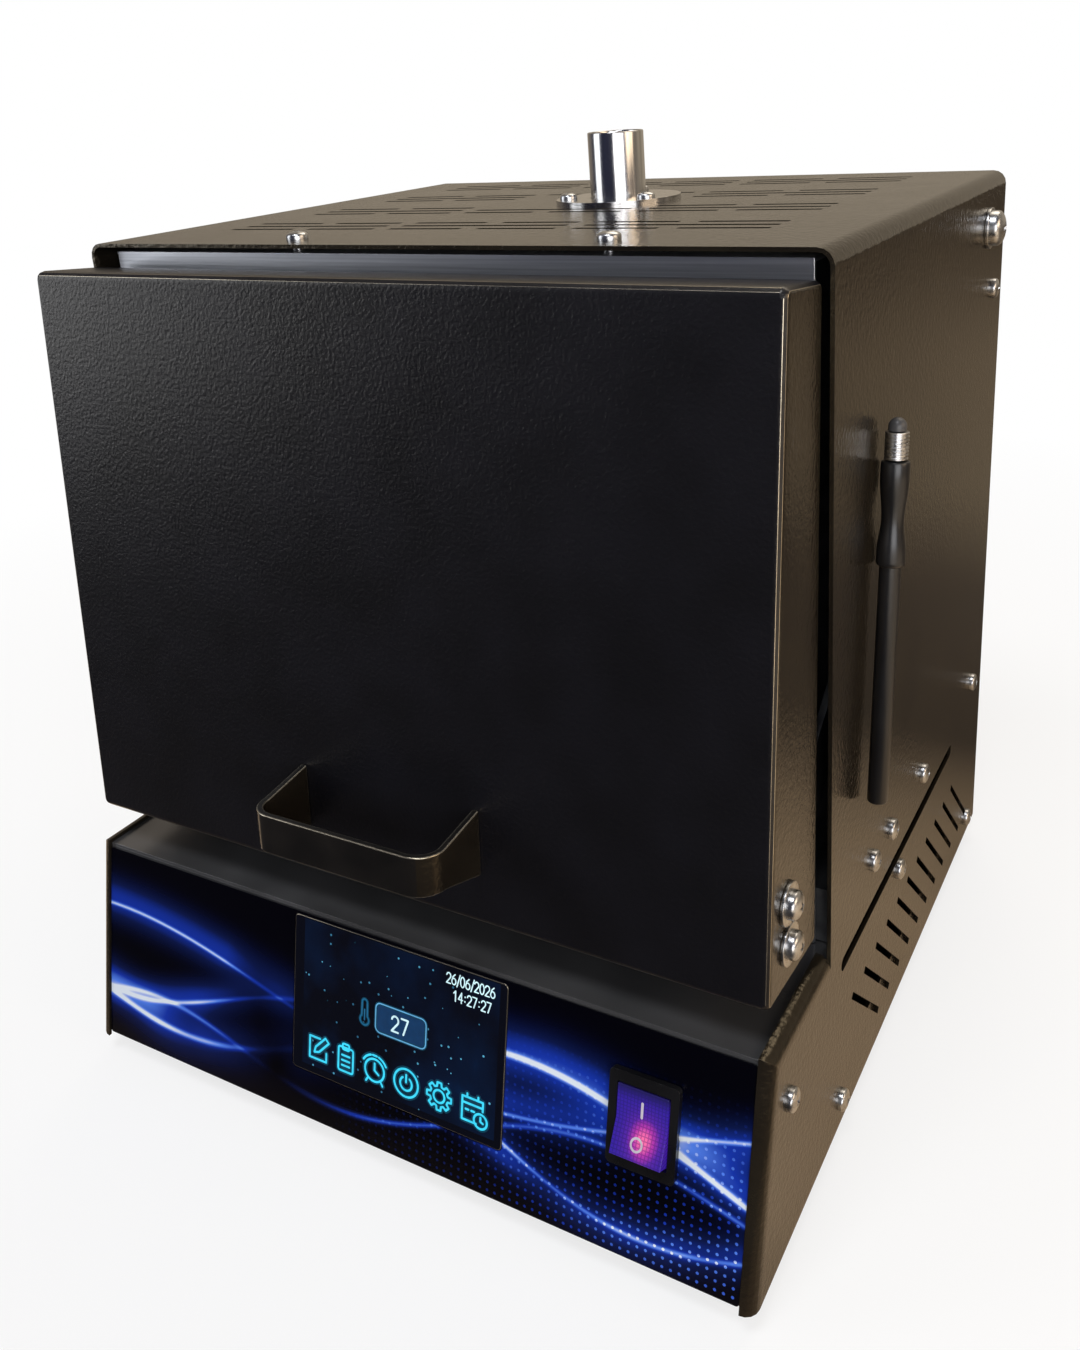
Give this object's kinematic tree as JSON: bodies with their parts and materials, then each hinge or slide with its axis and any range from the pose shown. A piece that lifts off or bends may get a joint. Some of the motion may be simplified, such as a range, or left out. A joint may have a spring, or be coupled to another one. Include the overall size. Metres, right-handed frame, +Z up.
{
  "type": "dental lab furnace",
  "caption": "Benchtop dental laboratory furnace with a lift-up door, slanted touch-screen console, rocker switch, flue tube and a stylus at its side.",
  "frame": {"origin": "on the table, under the middle of the furnace's box", "axes": "+Z up, +X to the right as the user sees it, +Y to the back; the door faces -Y"},
  "size_m": [0.2641, 0.264, 0.3008],
  "materials": {
    "powder_coat": "semi-gloss black powder coat with an orange-peel texture",
    "console_grey": "satin dark grey",
    "overlay": "printed film, satin",
    "glass": "clear over a dark screen",
    "board": "solder-masked board",
    "black_plastic": "fine satin",
    "rocker": "translucent, lit from behind",
    "stainless": "polished and lightly brushed",
    "zinc": "zinc plated",
    "handle": "gloss black",
    "galvanised": "galvanised sheet",
    "fibre": "pressed ceramic fibre, matt",
    "ceramic": "unglazed, matt",
    "heater": "oxidised resistance wire",
    "rubber": "matt",
    "aluminium": "anodised"
  },
  "bodies": {
    "furnace": {"outer_cover": "powder_coat", "rear_panel": "powder_coat", "console_panel": "console_grey", "panel_overlay": "overlay", "touch_glass": "glass", "display_module": "board", "controller_board": "board", "switch_housing": "black_plastic", "solid_state_relay": "black_plastic", "terminal_block": "black_plastic", "power_inlet": "black_plastic", "chamber_front_plate": "stainless", "flue_tube": "stainless", "flue_flange": "stainless", "flue_screw_left": "zinc", "flue_screw_right": "zinc", "flue_screw_rear": "zinc", "top_screw_left": "zinc", "top_screw_right": "zinc", "pivot_bolt_left": "zinc", "pivot_bolt_right": "zinc", "pivot_nut_left": "zinc", "pivot_nut_right": "zinc", "pivot_spacer_left": "zinc", "pivot_spacer_right": "zinc", "base_tray": "galvanised", "chamber_shelf": "galvanised", "chamber_case": "galvanised", "mouth_collar": "fibre", "insulation_floor": "fibre", "insulation_roof": "fibre", "insulation_rear": "fibre", "insulation_left": "fibre", "insulation_right": "fibre", "hearth_plate": "ceramic", "thermocouple": "ceramic", "heater_plate_left": "ceramic", "heater_plate_right": "ceramic", "heater_wire_left": "heater", "heater_wire_right": "heater", "foot_front_left": "rubber", "foot_front_right": "rubber", "foot_rear_left": "rubber", "foot_rear_right": "rubber", "power_supply": "aluminium", "relay_heat_sink": "aluminium"},
    "door": {"door_shell": "powder_coat", "door_inner_plate": "stainless", "door_arm_left": "zinc", "door_arm_right": "zinc", "door_bolt_upper_left": "zinc", "door_bolt_upper_right": "zinc", "door_bolt_lower_left": "zinc", "door_bolt_lower_right": "zinc", "door_handle": "handle", "door_insulation": "fibre"},
    "rocker": {"switch_rocker": "rocker"},
    "stylus": {"stylus_body": "black_plastic", "stylus_ferrule": "stainless", "stylus_tip": "rubber"}
  },
  "joints": [
    {"name": "door_lift", "type": "hinge", "parent": "furnace", "child": "door", "pos_m": [0, 0.10222, 0.2608], "axis": [-1, 0, 0], "range_deg": [0, 36]},
    {"name": "power_rocker", "type": "hinge", "parent": "furnace", "child": "rocker", "pos_m": [0.0898, -0.11722, 0.05039], "axis": [1, 0, 0], "range_deg": [0, 20]},
    {"name": "stylus_lift_off", "type": "slide", "parent": "furnace", "child": "stylus", "axis": [1, 0, 0], "range_m": [0, 0.06]}
  ]
}
